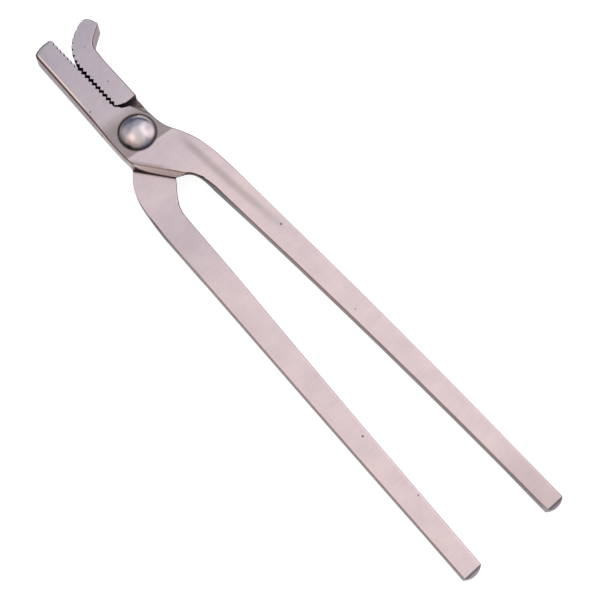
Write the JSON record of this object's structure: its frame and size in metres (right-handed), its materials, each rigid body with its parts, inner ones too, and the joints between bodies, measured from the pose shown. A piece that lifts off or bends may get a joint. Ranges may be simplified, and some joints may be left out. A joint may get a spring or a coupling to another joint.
{
  "type": "farrier clincher",
  "caption": "Long-handled plier with a straight toothed jaw, a hooked toothed jaw and a domed pivot rivet, for clinching horseshoe nails.",
  "frame": {"origin": "on the rivet's axis, in the small flat on the rivet's back head", "axes": "+X from the pivot to the rein ends, +Y across the jaws towards the curved jaw, +Z along the rivet to its domed front head"},
  "size_m": [0.3557, 0.0633, 0.0214],
  "materials": {
    "forged_steel": "satin, ground across the reins and tumbled smooth",
    "rivet_steel": "polished dome"
  },
  "bodies": {
    "curved_jaw_half": {"curved_jaw_arm": "forged_steel", "pivot_rivet": "rivet_steel"},
    "straight_jaw_half": {"straight_jaw_arm": "forged_steel"}
  },
  "joints": [
    {"name": "jaw_pivot", "type": "hinge", "parent": "curved_jaw_half", "child": "straight_jaw_half", "pos_m": [0, 0, 0.01], "axis": [0, 0, 1], "range_deg": [0, 87]}
  ]
}
